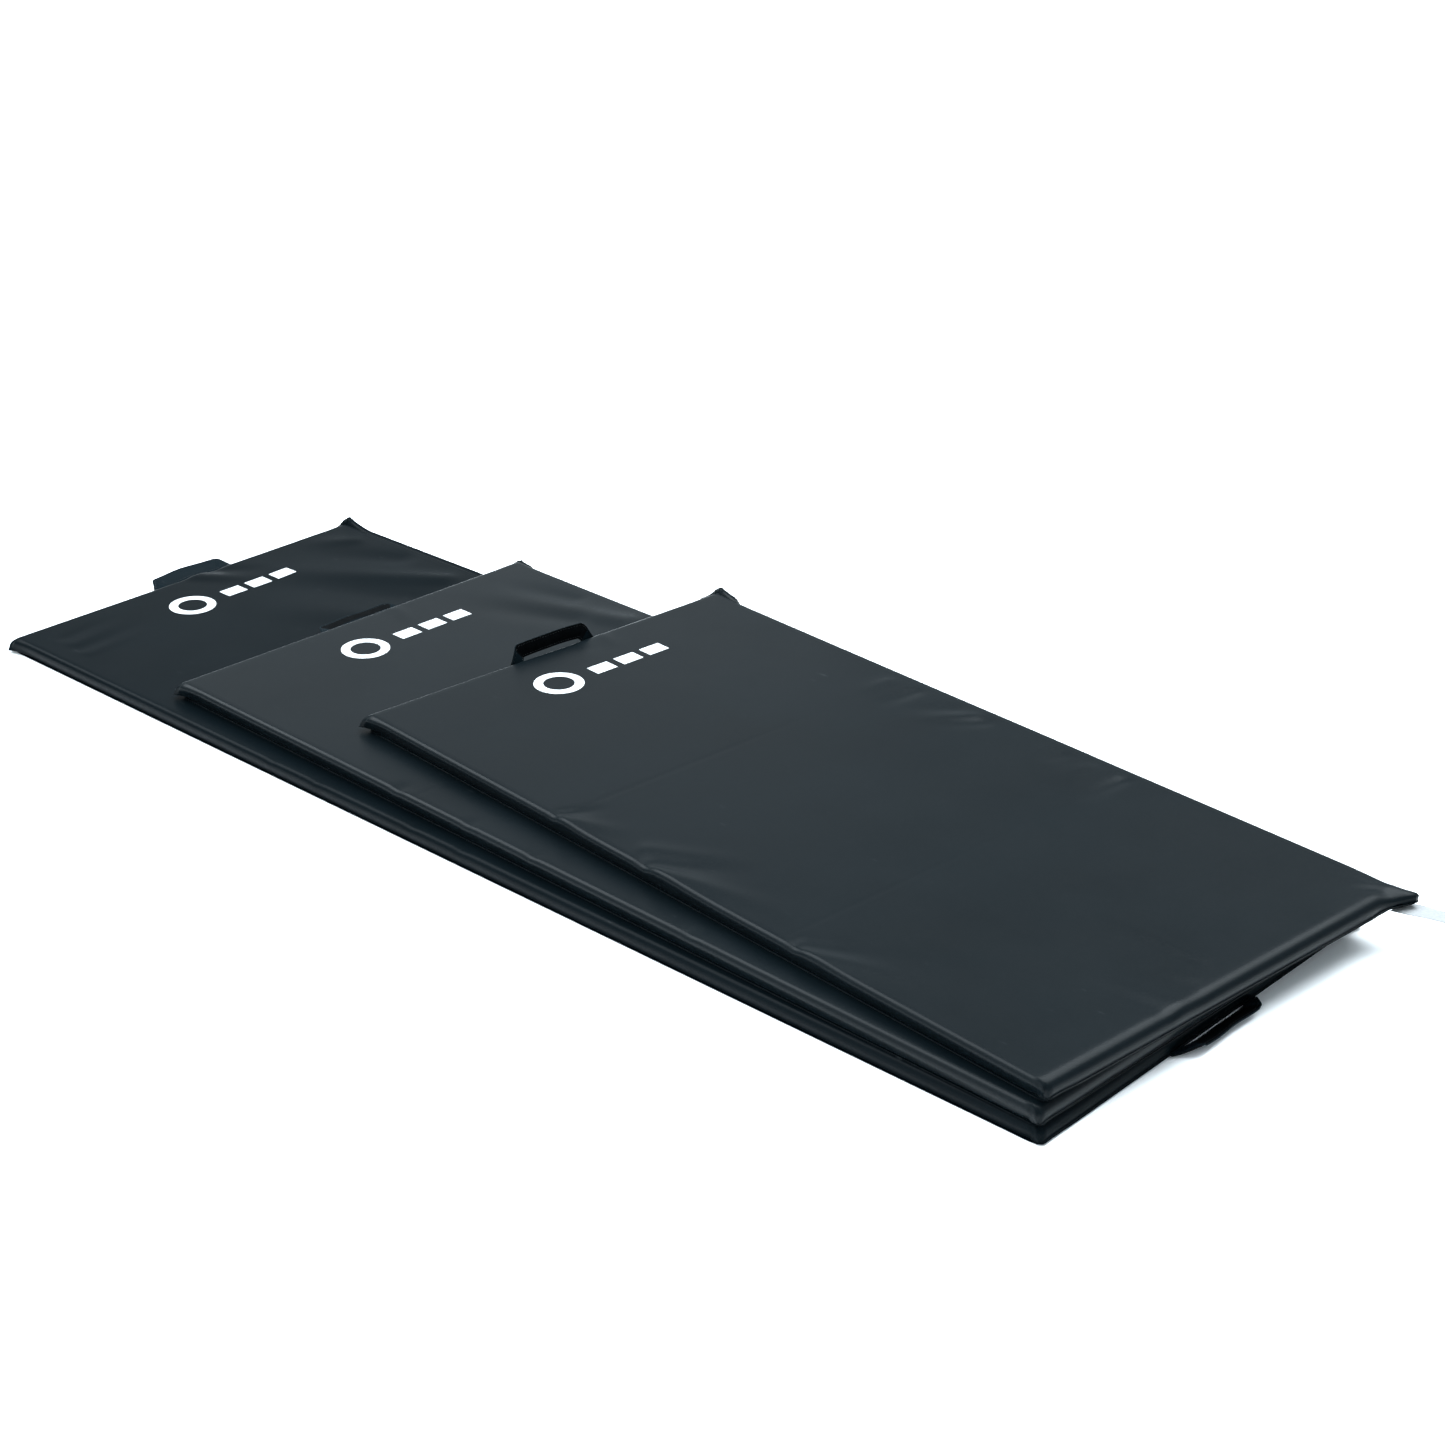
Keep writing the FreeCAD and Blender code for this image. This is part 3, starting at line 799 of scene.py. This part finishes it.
def closed_sheet(top, under):
    """Points and faces of a thin closed sheet between two grids of points."""
    rows, columns = top.shape[:2]
    drop = rows * columns
    ids = np.arange(drop).reshape(rows, columns)
    faces = [list(f) for f in quads(ids)] + [list(f[::-1] + drop) for f in quads(ids)]
    rim = list(ids[0]) + list(ids[1:, -1]) + list(ids[-1, -2::-1]) + list(ids[-2:0:-1, 0])
    faces += [[b, a, a + drop, b + drop] for a, b in zip(rim, rim[1:] + rim[:1])]
    return np.concatenate([top.reshape(-1, 3), under.reshape(-1, 3)]), faces


def ink_patch(mat, x, y):
    """Thin closed layer of ink that follows the cover over a grid of places."""
    height = top_height(mat, x, y)
    return closed_sheet(mat.world(x, y, height + INK), mat.world(x, y, height - INK))


def ring_patch(mat, x, y, inner, outer):
    """The same for a ring."""
    turn = np.linspace(0.0, 2 * math.pi, 73)[:-1]
    radii = np.linspace(inner, outer, 5)
    angle, radius = np.meshgrid(turn, radii, indexing="ij")
    px, py = x + radius * np.cos(angle), y + radius * np.sin(angle)
    height = top_height(mat, px, py)
    top, under = mat.world(px, py, height + INK), mat.world(px, py, height - INK)
    ids = np.arange(px.size).reshape(px.shape)
    wrapped = np.concatenate([ids, ids[:1]])
    drop = px.size
    faces = [list(f[::-1]) for f in quads(wrapped)] + [list(f + drop) for f in quads(wrapped)]
    for column, flip in ((0, 1), (-1, -1)):
        edge = wrapped[:, column]
        for a, b in zip(edge, edge[1:]):
            faces.append([a, b, b + drop, a + drop][::flip])
    return np.concatenate([top.reshape(-1, 3), under.reshape(-1, 3)]), faces


def print_mark(mat, body):
    """Plain ring and bars in white, in the places of the CAD ones."""
    local = np.array([mat.local(p) for p in node_points(f"{mat.name}_print_mark")])
    x = 0.5 * (local[:, 0].min() + local[:, 0].max())
    ring_radius = 0.5 * np.ptp(local[:, 0])
    y = local[:, 1].min() + ring_radius
    patches = [ring_patch(mat, x, y, RING_HOLE * ring_radius, ring_radius)]
    bars = local[local[:, 1] > y + 1.2 * ring_radius]
    half = 0.5 * np.ptp(bars[:, 0])
    starts = sorted({round(v, 4) for v in bars[:, 1]})
    for low, high in zip(starts[0::2], starts[1::2]):
        across, along = np.linspace(x - half, x + half, 7), np.linspace(low, high, 9)
        px, py = np.meshgrid(across, along, indexing="ij")
        patches.append(ink_patch(mat, px, py))
    points, faces = [], []
    for patch_points, patch_faces in patches:
        faces += [[int(i) + len(points) for i in f] for f in patch_faces]
        points += list(patch_points)
    mark = mesh_object(f"{mat.name}_print", points, faces, len(faces))
    finish_with(mark, "print_white")
    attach(mark, body)
    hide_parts(f"{mat.name}_print_mark")


print_mark(MATS["long"], "long_mat")
print_mark(MATS["middle"], "middle_mat")
print_mark(MATS["short"], "short_mat_left_panel")


# ---- care label ----------------------------------------------------------------------------------
LABEL_LENGTH = 1.1             # as a share of the CAD label's
LABEL_LEAN = 0.45              # sideways towards the far side, as a share of its length
LABEL_DROOP = 0.45             # as a share of the CAD label's
LABEL_CURL = 1.2 * MM
LABEL_THICKNESS = 0.35 * MM


def care_label(mat):
    """Blank label that curls out of the end seam."""
    local = np.array([mat.local(p) for p in node_points("short_care_label")])
    low, high = local.min(axis=0), local.max(axis=0)
    run, width = LABEL_LENGTH * (high[0] - low[0]), high[1] - low[1]
    u, v = np.meshgrid(np.linspace(-0.05, 1.0, 22), np.linspace(0.0, 1.0, 10), indexing="ij")
    x = low[0] + run * u
    y = low[1] + width * (v + 0.06 * u * u) + LABEL_LEAN * run * u
    z = (high[2] + LABEL_DROOP * (low[2] - high[2]) * np.maximum(u, 0.0) ** 1.4
         + LABEL_CURL * np.sin(2.4 * u * math.pi) * (v - 0.3))
    points, faces = closed_sheet(mat.world(x, y, z), mat.world(x, y, z - LABEL_THICKNESS))
    label = mesh_object("care_label", points, faces)
    finish_with(label, "label_white")
    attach(label, "short_mat_right_panel")
    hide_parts("short_care_label")


care_label(MATS["short"])


# ---- floor, light, camera ------------------------------------------------------------------------
FLOOR_HALF = 30.0
CAMERA_OFFSET = (1.298, -1.876, 1.557)      # from the long mat's near right corner
CAMERA_AIM = (-0.6127, 0.6624, -0.4312)
CAMERA_LENS = 66.62


def floor():
    """Plain pale floor far larger than the view."""
    half = FLOOR_HALF
    plane = mesh_object("floor", [(-half, -half, 0.0), (half, -half, 0.0), (half, half, 0.0),
                                  (-half, half, 0.0)], [(0, 1, 2, 3)])
    plane.data.materials.append(floor_paint())


def studio():
    """White surroundings, a broad key from above and behind, lights from the left and front, a box."""
    world = bpy.data.worlds.new("studio")
    world.use_nodes = True
    nodes, links = world.node_tree.nodes, world.node_tree.links
    nodes["Background"].inputs["Color"].default_value = (0.82, 0.93, 1.0, 1.0)
    seen = nodes.new("ShaderNodeMapRange")
    seen.inputs["To Min"].default_value, seen.inputs["To Max"].default_value = 0.78, 2.0
    links.new(nodes.new("ShaderNodeLightPath").outputs["Is Camera Ray"], seen.inputs["Value"])
    links.new(seen.outputs["Result"], nodes["Background"].inputs["Strength"])
    bpy.context.scene.world = world
    for name, energy, spread_angle, direction in (("key", 6.8, 50.0, (0.0, -0.45, -0.89)),
                                                  ("edge", 4.2, 36.0, (0.62, 0.15, -0.76)),
                                                  ("front", 2.4, 60.0, (0.20, 0.85, -0.48))):
        sun = bpy.data.lights.new(name, "SUN")
        sun.energy, sun.angle, sun.color = energy, math.radians(spread_angle), (0.86, 0.95, 1.0)
        light = bpy.data.objects.new(name, sun)
        light.rotation_euler = Vector(direction).to_track_quat("-Z", "Y").to_euler()
        bpy.context.scene.collection.objects.link(light)
    data = bpy.data.lights.new("back_box", "AREA")
    data.shape, data.size, data.size_y, data.energy = "RECTANGLE", 2.6, 1.6, 6.0
    box = bpy.data.objects.new("back_box", data)
    box.location = (-3.7, 2.8, 1.9)
    box.rotation_euler = Vector((3.2, -2.7, -1.8)).to_track_quat("-Z", "Y").to_euler()
    bpy.context.scene.collection.objects.link(box)


def camera():
    """Camera at the near right, looking down along the stack."""
    near_right = Vector((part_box("long_base_skin")[1].x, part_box("long_base_skin")[0].y, 0.0))
    data = bpy.data.cameras.new("camera")
    data.lens, data.sensor_width = CAMERA_LENS, 36.0
    data.clip_start, data.clip_end = 0.05, 100.0
    view = bpy.data.objects.new("camera", data)
    view.location = near_right + Vector(CAMERA_OFFSET)
    view.rotation_euler = Vector(CAMERA_AIM).to_track_quat("-Z", "Y").to_euler()
    bpy.context.scene.collection.objects.link(view)
    bpy.context.scene.camera = view


floor()
studio()
camera()
bpy.context.scene.view_settings.view_transform = "Standard"
